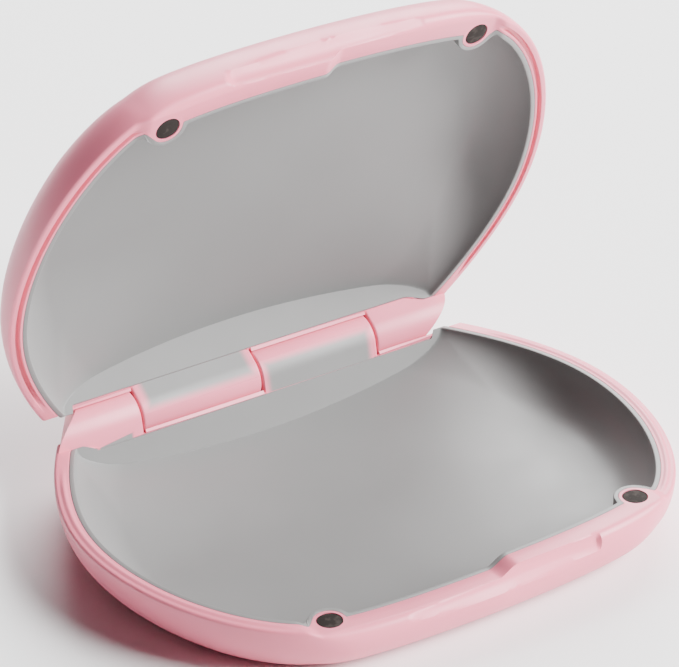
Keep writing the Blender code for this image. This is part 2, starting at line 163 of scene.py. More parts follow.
# Each band over a knuckle: its two ends, how far it turns round at each, and the width of its faded edge
WRAPS = {
    BASE: (
        (-33.4 * MM, -SPLIT_X - 2.1 * MM, 19.0, 8.0, 0.1 * MM),
        (0.35 * MM, SPLIT_X - 0.8 * MM, -54.0, -54.0, 1.5 * MM),
    ),
    LID: ((-SPLIT_X + 0.8 * MM, -0.6 * MM, -49.0, -49.0, 1.7 * MM),),
}
PIN_ENDS = (-34.5 * MM, 35.2 * MM)
PIN_NOSE = 0.25 * MM
PIN_GRIP = (1.0 * MM, 0.5 * MM, 8)
BORE_START = -34.8 * MM
BORE_FIT = 0.05 * MM

LIGHT_TARGET = (0, 0, 0.03)
# Each softbox: its place, its side in metres and its power in watts
SOFTBOXES = {
    "key_light": ((1.45, -1.35, 1.3), 1.5, 250),
    "back_light": ((0.95, 1.25, 1.25), 1.4, 95),
}
WORLD_STRENGTH = 0.035
CAMERA_LENS = 171.62
CAMERA_TURN, CAMERA_RISE = math.radians(-33.99), math.radians(29.15)
CAMERA_DISTANCE = 0.5104
CAMERA_TARGET = HINGE + Vector((-1.91 * MM, -30 * MM, 22.21 * MM))


def length(name, description, millimetres):
    return FloatProperty(name=name, description=description, default=millimetres * MM, unit="LENGTH")


def colour(name, description, default):
    return FloatVectorProperty(name=name, description=description, default=default, subtype="COLOR", size=3)


class CaseSizes(bpy.types.PropertyGroup):
    scoop_radius: length("Scoop Radius", "Radius of the thumb scoop across the front", 3.25)
    groove_inner: length("Groove Inner", "Inset of the inner side of the lid's rim groove", 1.9)
    groove_outer: length("Groove Outer", "Inset of the outer side of the lid's rim groove", 1.15)
    groove_depth: length("Groove Depth", "Depth of the lid's rim groove", 0.9)
    ridge_height: length("Ridge Height", "Height of the rounded ridge on the base's rim", 0.2)
    magnet_radius: length("Magnet Radius", "Radius of the disc magnets", 2.0)
    magnet_thickness: length("Magnet Thickness", "Thickness of the disc magnets", 1.6)
    knuckle_radius: length("Knuckle Radius", "Radius of the hinge knuckles", 4.3)
    knuckle_round: length("Knuckle Round", "Rounding on the ends of the knuckles", 0.4)
    pin_radius: length("Pin Radius", "Radius of the hinge pin", 0.75)


class CaseColours(bpy.types.PropertyGroup):
    shell: colour("Shell", "Pink of the moulded shells", (0.8, 0.2, 0.285))
    liner: colour("Liner", "Grey of the dished liners", (0.205, 0.203, 0.201))
    magnet: colour("Magnet", "Dark coating of the magnets", (0.02, 0.016, 0.0145))
    pin: colour("Pin", "Steel of the hinge pin", (0.55, 0.55, 0.56))
    floor: colour("Floor", "Pale floor under the case", (0.9, 0.9, 0.9))


def sizes():
    return bpy.context.scene.case_sizes


def colours():
    return bpy.context.scene.case_colours


def smooth_step(value, start, end):
    share = np.clip((value - start) / (end - start), 0, 1)
    return share * share * (3 - 2 * share)


def smooth_least(value, limit, blend):
    """The smaller of the two, rounded where they cross."""
    share = np.clip(0.5 + 0.5 * (limit - value) / blend, 0, 1)
    return limit * (1 - share) + value * share - blend / 2 * share * (1 - share)


def smooth_greatest(value, limit, blend):
    return -smooth_least(-value, -limit, blend)


def plan_edge():
    """The right half of the plan's edge, finely: x, y and degrees turned."""
    turns = np.linspace(0, PLAN_TURN, PLAN_STEPS + 1)
    middles = (turns[1:] + turns[:-1]) / 2
    at, radii = np.array(PLAN_RADII, float).T
    steps = np.exp(np.interp(middles, at, np.log(radii))) * MM * math.radians(PLAN_TURN / PLAN_STEPS)
    x = np.concatenate([[0], np.cumsum(steps * np.cos(np.radians(middles)))])
    y = PLAN_FRONT + np.concatenate([[0], np.cumsum(steps * np.sin(np.radians(middles)))])
    tail = np.arange(1, 301) / 300 * PLAN_TAIL
    angle = math.radians(PLAN_TURN)
    x = np.concatenate([x, x[-1] + tail * math.cos(angle)])
    y = np.concatenate([y, y[-1] + tail * math.sin(angle)])
    return x, y, np.concatenate([turns, np.full(len(tail), PLAN_TURN)])


def plan_stations():
    """Stations all round the plan's edge, closed behind the hinge: x, y, outward normal, degrees turned."""
    x, y, turns = plan_edge()
    run = np.concatenate([[0], np.cumsum(np.hypot(np.diff(x), np.diff(y)))])
    marks, at = [], 0.0
    while at < run[-1]:
        marks.append(at)
        px, py = np.interp(at, run, x), np.interp(at, run, y)
        if py < STEP_BACK:
            fine = any(low < px < high for low, high in FINE_AT_FRONT)
        else:
            fine = FINE_AT_BACK[0] < py < FINE_AT_BACK[1]
        at += FINE_SPACING if fine else STATION_SPACING
    px, py, turn = (np.interp([*marks, run[-1]], run, values) for values in (x, y, turns))
    nx, ny = np.sin(np.radians(turn)), -np.cos(np.radians(turn))
    across = np.linspace(px[-1], 0, 26)[1:]
    nx = np.concatenate([nx, nx[-1] * across / px[-1]])
    px, py = np.concatenate([px, across]), np.concatenate([py, np.full(25, py[-1])])
    ny, turn = np.concatenate([ny, np.full(25, ny[-1])]), np.concatenate([turn, np.full(25, PLAN_TURN)])
    back = slice(-2, 0, -1)
    return (
        np.concatenate([px, -px[back]]), np.concatenate([py, py[back]]),
        np.concatenate([nx, -nx[back]]), np.concatenate([ny, ny[back]]),
        np.concatenate([turn, turn[back]]),
    )


EDGE_X, EDGE_Y, NORMAL_X, NORMAL_Y, TURNS = plan_stations()
WALL_RUN = np.interp(TURNS, *zip(*WALL_RUNS)) * MM
FRONT = 1 - smooth_step(TURNS, *FRONT_LAND_TURNS)
LAND = FRONT_LAND * FRONT
ROUND = EDGE_ROUND + (FRONT_ROUND - EDGE_ROUND) * FRONT
SEAL = smooth_step(TURNS, *SEAL_TURNS[:2]) * (1 - smooth_step(TURNS, *SEAL_TURNS[2:]))


def round_reach(radius):
    """At each station, the inset of the far side of a round column about the magnet near it."""
    reach = np.full(len(TURNS), -CLEAR)
    for x in (-MAGNET_X, MAGNET_X):
        dx, dy = EDGE_X - x, EDGE_Y - MAGNET_Y
        across = np.abs(dx * NORMAL_Y - dy * NORMAL_X) / radius
        over = np.sqrt(np.clip(1 - across**2, 0, None))
        over = np.where(across < 0.97, over, 0.243 - 3.99 * (across - 0.97))
        here = dx * NORMAL_X + dy * NORMAL_Y + radius * over
        reach = np.where(np.hypot(dx, dy) < 5 * COLUMN_RADIUS, np.maximum(reach, here), reach)
    return reach


BOSS_REACH = round_reach(BOSS_RADIUS)
COLUMN_REACH = round_reach(COLUMN_RADIUS)


def parting_height(x, y):
    """How far the parting line sits above the parting plane."""
    rise = 2 * smooth_step(x, STEP_CENTRE - STEP_HALF_RAMP, STEP_CENTRE + STEP_HALF_RAMP) - 1
    fade = 1 - smooth_step(np.abs(x), STEP_END - STEP_END_RAMP, STEP_END + STEP_END_RAMP)
    return PARTING_STEP * rise * fade * (np.asarray(y) < STEP_BACK)


def ring(side, inset, depth, follow=0.0, limit=None, blend=0.1 * MM):
    """A loop round the plan at an inset and a depth, held in front of a limit in y."""
    px, py = EDGE_X - inset * NORMAL_X, EDGE_Y - inset * NORMAL_Y
    if limit is not None:
        py = smooth_least(py, limit, blend)
    return np.column_stack([px, py, side * depth + follow * parting_height(px, py)])


def ledge_y(depth):
    return CREASE_Y - LEDGE_SLOPE * (depth - CREASE_DEPTH)


def hinge_wall_y(depth, radius):
    """The front of a round wall about the hinge axis, at a depth."""
    return -np.sqrt(np.clip(radius**2 - depth**2, 0, None))


def behind_ledge(depth, gap):
    """The back of the liner's rear wall, which thins where the hinge's round wall comes close."""
    ledge = ledge_y(depth)
    wall = np.minimum(ledge + LINER_THICKNESS + gap, hinge_wall_y(depth, HINGE_WALL_RADIUS - gap))
    return np.maximum(wall, ledge + WALL_LEAST)


def back_y(depth):
    """The back of the body at a depth: upright, then leaning in, then rounded into the flat face."""
    turn_in = HINGE.z - BACK_ROUND
    round_y = BACK_Y - BACK_SLOPE * (HINGE.z - BACK_DEPTH)
    if depth < turn_in:
        return float(np.interp(depth, (BACK_DEPTH, turn_in), (BACK_Y, round_y)))
    share = 1 - (HINGE.z - depth) / BACK_ROUND
    return round_y - BACK_ROUND * (1 - math.sqrt(max(0.0, 1 - share * share)))


def floor_rise(x, y):
    """How much shallower the dish is here than at its deepest: most in its two back corners."""
    corner = (np.minimum(np.abs(x), RISE_LIMIT_X) / RISE_CORNER_X) ** 2
    return smooth_step(y, *RISE_Y) * (RISE_MIDDLE + RISE_CORNER * corner)


def scooped(points):
    """Presses the front in under the thumb scoop, round at its left end and sheer at its right."""
    x, y, z = points.T
    radius = sizes().scoop_radius
    past = np.clip(SCOOP_LEFT - x, 0, None)
    front = SCOOP_Y + np.sqrt(np.clip(radius**2 - z**2 - past**2, 0, None))
    pressed = y + (smooth_greatest(y, front, SCOOP_BLEND) - y) * (1 - smooth_step(x, *SCOOP_RIGHT))
    points[:, 1] = np.where((y < STEP_BACK) & (np.hypot(z, past) < radius), pressed, y)
    return points


def dish(side, rim, floor, depth, reach, blend, limit, count, floor_shares):
    """Loops down a dished form, from below its rim to the middle of its floor."""
    top = rim + LAND
    loops = []
    for step in range(1, count + 1):
        angle = math.pi / 2 * step / count
        inset = smooth_greatest(top + (floor - top) * (1 - math.cos(angle)), reach, blend)
        start = PARTING_GAP + LINER_ROUND
        px, py = EDGE_X - inset * NORMAL_X, EDGE_Y - inset * NORMAL_Y
        held = smooth_least(py, limit(px, depth * math.sin(angle)), LEDGE_BLEND)
        down = start + (depth - start - floor_rise(px, held)) * math.sin(angle)
        py = smooth_least(py, limit(px, down), LEDGE_BLEND)
        follow = parting_height(px, py) * (1 - math.sin(angle))
        loops.append(np.column_stack([px, py, side * down + follow]))
    last = loops[-1]
    for share in floor_shares:
        px, py = last[:, 0] * share, FLOOR_CENTRE_Y + (last[:, 1] - FLOOR_CENTRE_Y) * share
        loops.append(np.column_stack([px, py, side * (depth - floor_rise(px, py))]))
    return loops


def loft(loops):
    """A closed form through the loops, with its two ends filled."""
    bm = bmesh.new()
    rows = [[bm.verts.new(point) for point in points] for points in loops]
    count = len(rows[0])
    for first, second in zip(rows, rows[1:]):
        for at in range(count):
            after = (at + 1) % count
            bm.faces.new((first[at], first[after], second[after], second[at]))
    bm.faces.new(rows[0])
    bm.faces.new(rows[-1])
    bmesh.ops.remove_doubles(bm, verts=bm.verts, dist=2e-6)
    bmesh.ops.dissolve_degenerate(bm, edges=bm.edges, dist=1e-7)
    bmesh.ops.triangulate(bm, faces=bm.faces[:])
    return bm


def rounded_ends(bm, axis, rounding):
    """Rounds the edges of a drawn form's two flat ends."""
    if rounding:
        rims = [edge for edge in bm.edges if abs(edge.verts[0].co[axis] - edge.verts[1].co[axis]) < 1e-7]
        bmesh.ops.bevel(
            bm, geom=rims, offset=rounding, segments=4, profile=0.5, affect="EDGES", clamp_overlap=True
        )
    return bm


def prism(section, start, end, rounding=0.0):
    """A (y, z) section drawn along X, with its end edges rounded."""
    bm = bmesh.new()
    face = bm.faces.new([bm.verts.new((start, y, z)) for y, z in section])
    grown = bmesh.ops.extrude_face_region(bm, geom=[face])["geom"]
    moved = [item for item in grown if isinstance(item, bmesh.types.BMVert)]
    bmesh.ops.translate(bm, verts=moved, vec=(end - start, 0, 0))
    return rounded_ends(bm, 0, rounding)


def circle_points(radius, start, end, count):
    """Points (y, z) round the hinge axis, by degrees up from the front."""
    angles = np.radians(np.linspace(start, end, count + 1))
    return [(-radius * math.cos(angle), radius * math.sin(angle)) for angle in angles]


def upright(radius, start, end, x, y, rounding):
    """A round upright rod."""
    bm = bmesh.new()
    bmesh.ops.create_cone(bm, cap_ends=True, segments=64, radius1=radius, radius2=radius, depth=end - start)
    rounded_ends(bm, 2, rounding)
    bmesh.ops.translate(bm, verts=bm.verts, vec=(x, y, (start + end) / 2))
    return bm


def turned(profile, segments=48):
    """A profile of (x, radius) pairs turned round the hinge axis."""
    bm = bmesh.new()
    angles = [2 * math.pi * step / segments for step in range(segments)]
    rows = []
    for x, radius in profile:
        rows.append([bm.verts.new((x, radius * math.cos(a), radius * math.sin(a))) for a in angles])
    for first, second in zip(rows, rows[1:]):
        for at in range(segments):
            after = (at + 1) % segments
            bm.faces.new((first[at], first[after], second[after], second[at]))
    bm.faces.new(rows[0])
    bm.faces.new(rows[-1])
    return bm


def merged(parts):
    """Several forms as one."""
    whole = bmesh.new()
    for part in parts:
        mesh = bpy.data.meshes.new("part")
        part.to_mesh(mesh)
        part.free()
        whole.from_mesh(mesh)
        bpy.data.meshes.remove(mesh)
    return whole


def mesh_object(name, bm):
    bmesh.ops.recalc_face_normals(bm, faces=bm.faces)
    mesh = bpy.data.meshes.new(name)
    bm.to_mesh(mesh)
    bm.free()
    made = bpy.data.objects.new(name, mesh)
    bpy.context.scene.collection.objects.link(made)
    return made


def carve(target, *steps):
    """Joins to the object, or cuts from it, each form in turn, and leaves it one plain mesh."""
    for operation, bm in steps:
        other = mesh_object("form", bm)
        modifier = target.modifiers.new("form", "BOOLEAN")
        modifier.operation = operation
        modifier.solver = "EXACT"
        modifier.object = other
        graph = bpy.context.evaluated_depsgraph_get()
        made = bpy.data.meshes.new_from_object(target.evaluated_get(graph))
        target.modifiers.clear()
        old, target.data = target.data, made
        bpy.data.meshes.remove(old)
        bpy.data.meshes.remove(other.data)
        if len(made.polygons) < 100:
            raise RuntimeError(f"{target.name} lost its shape")
    return target


def settle(target, side, material, slot, *nodes):
    """Turns the finished piece into place, gives it its finish and its body, and hides the plain solids it
    stands for.
    """
    turn = Matrix.Rotation(-OPEN_ANGLE, 4, "X") if side == LID else Matrix.Identity(4)
    target.data.transform(Matrix.Translation(HINGE) @ turn)
    target.data.shade_smooth()
    target.data.set_sharp_from_angle(angle=math.radians(30))
    target.data.materials.clear()
    target.data.materials.append(material)
    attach(target, HALF_NAMES[side])
    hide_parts(*nodes)


def rim_loops(side):
    """Loops across the rim, outwards from the liner's edge: a groove in the lid, a low ridge on the base."""
    s = sizes()
    edge = smooth_greatest(LINER_EDGE + LAND, BOSS_REACH, BOSS_BLEND)

    def at(inset, depth):
        return ring(side, inset, depth, 1, BACK_Y - inset, RIM_BLEND)

    def across_rim(inset):
        share = (LINER_EDGE - inset) / (LINER_EDGE - EDGE_ROUND)
        return inset + (ROUND - EDGE_ROUND) * share

    loops = []
    for inward, down in RIM_CORNER:
        loops.append(at(edge - inward, PARTING_GAP + down))
    if side == LID:
        soft, inner, outer = GROOVE_ROUND, s.groove_inner, s.groove_outer
        across = [(inner + soft, 0), (inner + 0.3 * soft, 0.12), (inner, 0.3), (inner - 0.2 * soft, 0.8)]
        across += [(inner - soft, 1), (outer + soft, 1), (outer + 0.2 * soft, 0.8)]
        across += [(outer, 0.3), (outer - 0.3 * soft, 0.12), (outer - soft, 0)]
        for inset, share in across:
            loops.append(at(across_rim(inset), PARTING_GAP + s.groove_depth * share * SEAL))
    else:
        low, high = RIDGE_INSETS
        for share in np.linspace(1, 0, 13):
            height = s.ridge_height * (1 - math.cos(2 * math.pi * share)) / 2
            loops.append(at(across_rim(low + (high - low) * share), PARTING_GAP - height * SEAL))
    for angle in np.linspace(0, math.pi / 2, 7):
        drop = ROUND * (1 - math.cos(angle))
        loops.append(at(ROUND * (1 - math.sin(angle)), PARTING_GAP + drop))
    return loops


def pocket_back(side, x, depth):
    """The back of the liner's pocket: above the crease, the shell's lip comes forward to the ledge."""
    end = np.where(x * side > 0, LIP_END_X, OTHER_RAMP[1])
    covered = (depth < CREASE_DEPTH) & (np.abs(x) < end)
    return np.where(covered, ledge_y(depth), behind_ledge(depth, SKIN_GAP))


def shell_form(side):
    """The shell as one closed lump: its pocket, its rim, its domed wall and its flat face."""
    floor, depth = FLOOR_INSET - LINER_THICKNESS, CAVITY_DEPTH + LINER_THICKNESS + SKIN_GAP
    pocket = dish(
        side, LINER_EDGE, floor, depth, BOSS_REACH, BOSS_BLEND,
        functools.partial(pocket_back, side), OUTER_LOOPS, OUTER_SHARES,
    )
    loops = pocket[::-1] + rim_loops(side)
    for angle in np.linspace(0, math.pi / 2, 25)[1:]:
        short = 1 - math.sin(angle)
        down = HINGE.z - (HINGE.z - PARTING_GAP - ROUND) * short
        limit = back_y(HINGE.z - (HINGE.z - PARTING_GAP - EDGE_ROUND) * short)
        loops.append(ring(side, WALL_RUN * (1 - math.cos(angle)), down, short**3, limit, BACK_BLEND))
    return loft([scooped(points) for points in loops])


def knuckle_section(side):
    """The round knuckle with the spur that carries it down to the crease and the back wall."""
    bm = bmesh.new()
    outline = circle_points(sizes().knuckle_radius, 0, 355, 71)
    outline += [(KNUCKLE_CREASE_Y, side * CREASE_DEPTH), (KNUCKLE_FOOT[0], side * KNUCKLE_FOOT[1])]
    verts = [bm.verts.new((0, y, z)) for y, z in outline]
    hull = bmesh.ops.convex_hull(bm, input=verts)
    inside = {item for item in hull["geom_interior"] if isinstance(item, bmesh.types.BMVert)}
    points = [(vert.co.y, vert.co.z) for vert in verts if vert.is_valid and vert not in inside]
    bm.free()
    return sorted(points, key=lambda point: math.atan2(point[1], point[0] - BACK_Y))


def knuckle_form(side):
    """The half's own knuckles, trimmed at the outer end to the case's plan."""
    section = knuckle_section(side)
    rounding = sizes().knuckle_round
    parts = [prism(section, start + SPLIT_GAP, end - SPLIT_GAP, rounding) for start, end in OWN_ZONES[side]]
    knuckles = mesh_object("knuckles", merged(parts))
    loops = []
    for depth in np.linspace(-KNUCKLE_TRIM * HINGE.z, KNUCKLE_TRIM * HINGE.z, 41):
        lean = float(np.clip(0.5 - depth / (2 * sizes().knuckle_radius), 0, 1)) ** 2
        dome = WALL_RUN * (1 - math.sqrt(1 - (depth / HINGE.z) ** 2))
        loops.append(ring(side, KNUCKLE_INSET + KNUCKLE_LEAN * lean + dome, depth))
    carve(knuckles, ("INTERSECT", loft(loops)))
    bm = bmesh.new()
    bm.from_mesh(knuckles.data)
    bpy.data.meshes.remove(knuckles.data)
    return bm


def relief_form(side):
    """The clearance round the other half's knuckles, open above the lip."""
    low = math.degrees(math.asin(LIP_DEPTH / RELIEF_RADIUS))
    arc = circle_points(RELIEF_RADIUS, low, 180, 48)
    front = ledge_y(LIP_DEPTH) - FRONT_OVERRUN
    points = [(front, -HINGE.z), (front, LIP_DEPTH), *arc, (RELIEF_RADIUS, -HINGE.z)]
    section = [(y, side * depth) for y, depth in points]
    return merged([
        prism(section, start - RELIEF_OVERRUN, end + RELIEF_OVERRUN) for start, end in OWN_ZONES[-side]
    ])


def ramps(side):
    """The x of the ramp at the left end and at the right end, each from its foot to its top."""
    left, right = (OWN_RAMP, OTHER_RAMP) if side == BASE else (OTHER_RAMP, OWN_RAMP)
    return [-x for x in left], list(right)


def ramped_form(side, start, end, depth, front):
    """A cut down to a depth that climbs back to the rim in an S wherever it reaches a ramp's top."""
    (left_foot, left_top), (right_foot, right_top) = ramps(side)

    def climb(foot, top):
        shares = np.linspace(0, 1, 13)
        return [(foot + (top - foot) * share, depth * smooth_step(1 - share, 0, 1)) for share in shares]

    points = [(start, -HINGE.z), (end, -HINGE.z)]
    points += [(end, depth)] if end < right_top else climb(right_foot, right_top)[::-1]
    points += [(start, depth)] if start > left_top else climb(left_foot, left_top)
    bm = bmesh.new()
    face = bm.faces.new([bm.verts.new((x, front, side * z)) for x, z in points])
    grown = bmesh.ops.extrude_face_region(bm, geom=[face])["geom"]
    moved = [item for item in grown if isinstance(item, bmesh.types.BMVert)]
    bmesh.ops.translate(bm, verts=moved, vec=(0, BACK_Y + CLEAR - front, 0))
    return bm


def trough_form(side):
    """Takes the body down to the crease along its own knuckles."""
    (_, left_top), (_, right_top) = ramps(side)
    parts = []
    for start, end in OWN_ZONES[side]:
        low, high = max(start - TROUGH_OVERRUN, left_top), min(end + TROUGH_OVERRUN, right_top)
        parts.append(ramped_form(side, low, high, CREASE_DEPTH, CREASE_Y - FRONT_OVERRUN))
    return merged(parts)


def wrap_form(side, outside, inside, shrink):
    """The liner's bands over the half's own knuckles, from the crease round towards the back."""
    radius = sizes().knuckle_radius
    crease = math.hypot(KNUCKLE_CREASE_Y, CREASE_DEPTH)
    lead = math.atan2(CREASE_DEPTH, -KNUCKLE_CREASE_Y) - math.acos(radius / crease)
    foot = math.atan2(CREASE_DEPTH + WRAP_ROOT - shrink, -KNUCKLE_CREASE_Y)
    parts = []
    for start, end, first, last, _ in WRAPS[side]:
        loops = []
        columns = [start + shrink + margin for margin in WRAP_MARGINS]
        columns += [end - shrink - margin for margin in reversed(WRAP_MARGINS)]
        for x in columns:
            stop = math.radians(np.interp(x, (start, end), (first, last))) + shrink / radius
            outline = []
            for out in (outside, -inside):
                row = []
                for angle in np.linspace(foot, stop, 26):
                    reach = (radius + out) / math.cos(max(angle - lead, 0.0))
                    row.append((x, -reach * math.cos(angle), side * reach * math.sin(angle)))
                outline += row if not outline else row[::-1]
            loops.append(outline)
        parts.append(loft(loops))
    return merged(parts)


def feather(target, side):
    """Marks how far each point of the bands has faded into the shell's colour at their edges."""
    points = np.empty(len(target.data.vertices) * 3)
    target.data.vertices.foreach_get("co", points)
    x, y, z = points.reshape(-1, 3).T
    radius = sizes().knuckle_radius
    angle = np.arctan2(side * z, -y)
    fade = np.zeros(len(x))
    for start, end, first, last, width in WRAPS[side]:
        over = (angle - np.radians(np.interp(x, (start, end), (first, last)))) * radius
        inward = np.minimum(over, np.minimum(x - start, end - x))
        near = (inward > -WRAP_SLACK) & (np.hypot(y, z) < WRAP_REACH) & (y > CREASE_Y)
        fade = np.where(near, 1 - smooth_step(inward, 0, width), fade)
    target.data.attributes.new("feather", "FLOAT", "POINT").data.foreach_set("value", fade)


def magnet_rods(side, radius, low, high, rounding=0.0):
    """A rod at each magnet, between two depths below the parting line."""
    parts = []
    for x in (-MAGNET_X, MAGNET_X):
        height = float(parting_height(x, MAGNET_Y))
        start, end = sorted((height + side * low, height + side * high))
        parts.append(upright(radius, start, end, x, MAGNET_Y, rounding))
    return parts


def bore_form(extra):
    """The round hole for the pin, open at its right end."""
    radius = sizes().pin_radius + extra
    return turned([(BORE_START, radius), (END_X, radius)], 40)


def build_shell(side, material):
    s = sizes()
    name = HALF_NAMES[side]
    shell = mesh_object(f"{name}_shell_moulding", shell_form(side))
    bottom = PARTING_GAP + MAGNET_SINK + s.magnet_thickness
    carve(
        shell,
        ("DIFFERENCE", trough_form(side)),
        ("UNION", knuckle_form(side)),
        ("DIFFERENCE", relief_form(side)),
        ("DIFFERENCE", wrap_form(side, CLEAR, WRAP_THICKNESS, 0.0)),
        ("DIFFERENCE", merged(magnet_rods(side, s.magnet_radius + MAGNET_FIT, -CLEAR, bottom))),
        ("DIFFERENCE", bore_form(BORE_FIT)),
    )
    settle(shell, side, material, "pink_plastic", f"{name}_shell")


def build_liner(side, material):
    name = HALF_NAMES[side]
    outer = dish(
        side, LINER_EDGE + SKIN_GAP, FLOOR_INSET - LINER_THICKNESS + SKIN_GAP, CAVITY_DEPTH + LINER_THICKNESS,
        BOSS_REACH + SKIN_GAP, BOSS_BLEND, lambda x, down: behind_ledge(down, 0), OUTER_LOOPS, OUTER_SHARES,
    )
    edge = smooth_greatest(LINER_EDGE + LAND, BOSS_REACH, BOSS_BLEND) + SKIN_GAP
    inner = smooth_greatest(CAVITY_RIM + LAND, COLUMN_REACH, COLUMN_BLEND)
    rim = []
    for inward, down in RIM_CORNER:
        held = behind_ledge(PARTING_GAP + down, 0)
        rim.append(ring(side, edge + inward, PARTING_GAP + down, 1, held, LEDGE_BLEND))
    for angle in np.linspace(0, math.pi / 2, 6):
        inset = inner - LINER_ROUND * (1 - math.sin(angle))
        down = PARTING_GAP + LINER_ROUND * (1 - math.cos(angle))
        rim.append(ring(side, inset, down, 1, ledge_y(down), LEDGE_BLEND))
    hollow = dish(
        side, CAVITY_RIM, FLOOR_INSET, CAVITY_DEPTH, COLUMN_REACH, COLUMN_BLEND,
        lambda x, down: ledge_y(down), INNER_LOOPS, INNER_SHARES,
    )
    liner = mesh_object(f"{name}_liner_moulding", loft(outer[::-1] + rim + hollow))
    (_, left_top), (_, right_top) = ramps(side)
    front, gap = CREASE_CUT
    crease = ramped_form(side, left_top, right_top, CREASE_DEPTH + gap, front)
    bands = wrap_form(side, 0.0, WRAP_THICKNESS - SKIN_GAP, SKIN_GAP)
    carve(liner, ("DIFFERENCE", crease), ("UNION", bands))
    feather(liner, side)
    settle(liner, side, material, "grey_liner", f"{name}_liner")


def build_magnets(material):
    s = sizes()
    for side in (BASE, LID):
        low = PARTING_GAP + MAGNET_SINK
        rods = magnet_rods(side, s.magnet_radius, low, low + s.magnet_thickness, MAGNET_ROUND)
        for place, bm in zip(("left", "right"), rods):
            name = f"{HALF_NAMES[side]}_magnet_{place}"
            settle(mesh_object(f"{name}_disc", bm), side, material, "coated_magnet", name)


def build_pin(material):
    """The hinge's steel pin, with rounded ends and a shallow knurled grip at its left end."""
    r = sizes().pin_radius
    left, right = PIN_ENDS
    lead, pitch, count = PIN_GRIP
    nose = [
        (PIN_NOSE * (1 - math.cos(angle)), r - PIN_NOSE * (1 - math.sin(angle)))
        for angle in (0, 0.4, 0.8, 1.2, 1.57)
    ]
    profile = [(left + along, radius) for along, radius in nose]
    for step in range(count):
        x = left + lead + pitch * step
        profile += [(x, r), (x + 0.1 * MM, r - 0.05 * MM), (x + 0.2 * MM, r)]
    profile += [(right - along, radius) for along, radius in reversed(nose)]
    settle(mesh_object("hinge_pin_rod", turned(profile)), BASE, material, "steel_pin", "hinge_pin")


def node(tree, kind, **settings):
    made = tree.nodes.new(kind)
    for name, value in settings.items():
        setattr(made, name, value)
    return made


def new_material(name):
    made = bpy.data.materials.new(name)
    made.use_nodes = True
    tree = made.node_tree
    return made, tree, tree.nodes["Principled BSDF"]


def grain(tree, scale, detail, vector=None):
    """A fine noise over the piece's own space."""
    noise = node(tree, "ShaderNodeTexNoise")
    noise.inputs["Scale"].default_value = scale
    noise.inputs["Detail"].default_value = detail
    if vector is None:
        vector = node(tree, "ShaderNodeTexCoord").outputs["Object"]
    tree.links.new(vector, noise.inputs["Vector"])
    return noise.outputs["Fac"]


def spread(tree, source, low, high, source_low=0.3, source_high=0.7):
    """The source stretched between two values."""
    made = node(tree, "ShaderNodeMapRange")
    values = {"From Min": source_low, "From Max": source_high, "To Min": low, "To Max": high}
    for name, value in values.items():
        made.inputs[name].default_value = value
    tree.links.new(source, made.inputs["Value"])
    return made.outputs["Result"]


def tinted(tree, source, first, second):
    """A colour between two, by the source."""
    mix = node(tree, "ShaderNodeMix", data_type="RGBA")
    mix.inputs["A"].default_value = (*first, 1)
    mix.inputs["B"].default_value = (*second, 1)
    tree.links.new(source, mix.inputs["Factor"])
    return mix.outputs["Result"]


def bumped(tree, shader, source, strength, distance):
    bump = node(tree, "ShaderNodeBump")
    bump.inputs["Strength"].default_value = strength
    bump.inputs["Distance"].default_value = distance
    tree.links.new(source, bump.inputs["Height"])
    tree.links.new(bump.outputs["Normal"], shader.inputs["Normal"])


def shade(base, factor):
    return tuple(min(1.0, channel * factor) for channel in base)


def shell_plastic():
    """Satin moulded plastic: a very fine spark-eroded grain and faint flow marks."""
    made, tree, shader = new_material("satin_pink_plastic")
    base = colours().shell
    flow = spread(tree, grain(tree, 45, 4), 0, 1)
    tree.links.new(tinted(tree, flow, shade(base, 0.97), shade(base, 1.03)), shader.inputs["Base Color"])
    tree.links.new(spread(tree, grain(tree, 160, 6), 0.36, 0.44), shader.inputs["Roughness"])
    bumped(tree, shader, grain(tree, 5200, 2), 0.06, 0.00006)
    shader.inputs["Specular IOR Level"].default_value = 0.45
    shader.inputs["Subsurface Weight"].default_value = 0.05
    shader.inputs["Subsurface Scale"].default_value = 0.0006
    return made


def liner_plastic():
    """Soft matte liner: an even fine grain, faded to the shell's colour at the edges of the bands."""
    made, tree, shader = new_material("matte_grey_liner")
    base = colours().liner
    cloud = spread(tree, grain(tree, 60, 5), 0, 1)
    feathered = node(tree, "ShaderNodeAttribute", attribute_name="feather")
    faded = node(tree, "ShaderNodeMix", data_type="RGBA")
    faded.inputs["B"].default_value = (*colours().shell, 1)
    tree.links.new(feathered.outputs["Fac"], faded.inputs["Factor"])
    tree.links.new(tinted(tree, cloud, shade(base, 0.97), shade(base, 1.03)), faded.inputs["A"])
    tree.links.new(faded.outputs["Result"], shader.inputs["Base Color"])
    tree.links.new(spread(tree, grain(tree, 120, 5), 0.42, 0.52), shader.inputs["Roughness"])
    bumped(tree, shader, grain(tree, 4200, 3), 0.08, 0.00006)
    shader.inputs["Specular IOR Level"].default_value = 0.4
    return made


def magnet_coat():
    """Dark epoxy coat with a slight orange-peel, paler where it has rubbed."""
    made, tree, shader = new_material("dark_coated_magnet")
    base = colours().magnet
    rub = spread(tree, grain(tree, 900, 4), 0, 1, 0.52, 0.75)
    tree.links.new(tinted(tree, rub, base, shade(base, 3.0)), shader.inputs["Base Color"])
    tree.links.new(spread(tree, grain(tree, 1500, 3), 0.72, 0.82), shader.inputs["Roughness"])
    bumped(tree, shader, grain(tree, 2200, 2), 0.15, 0.00005)
    shader.inputs["Specular IOR Level"].default_value = 0.12
    return made


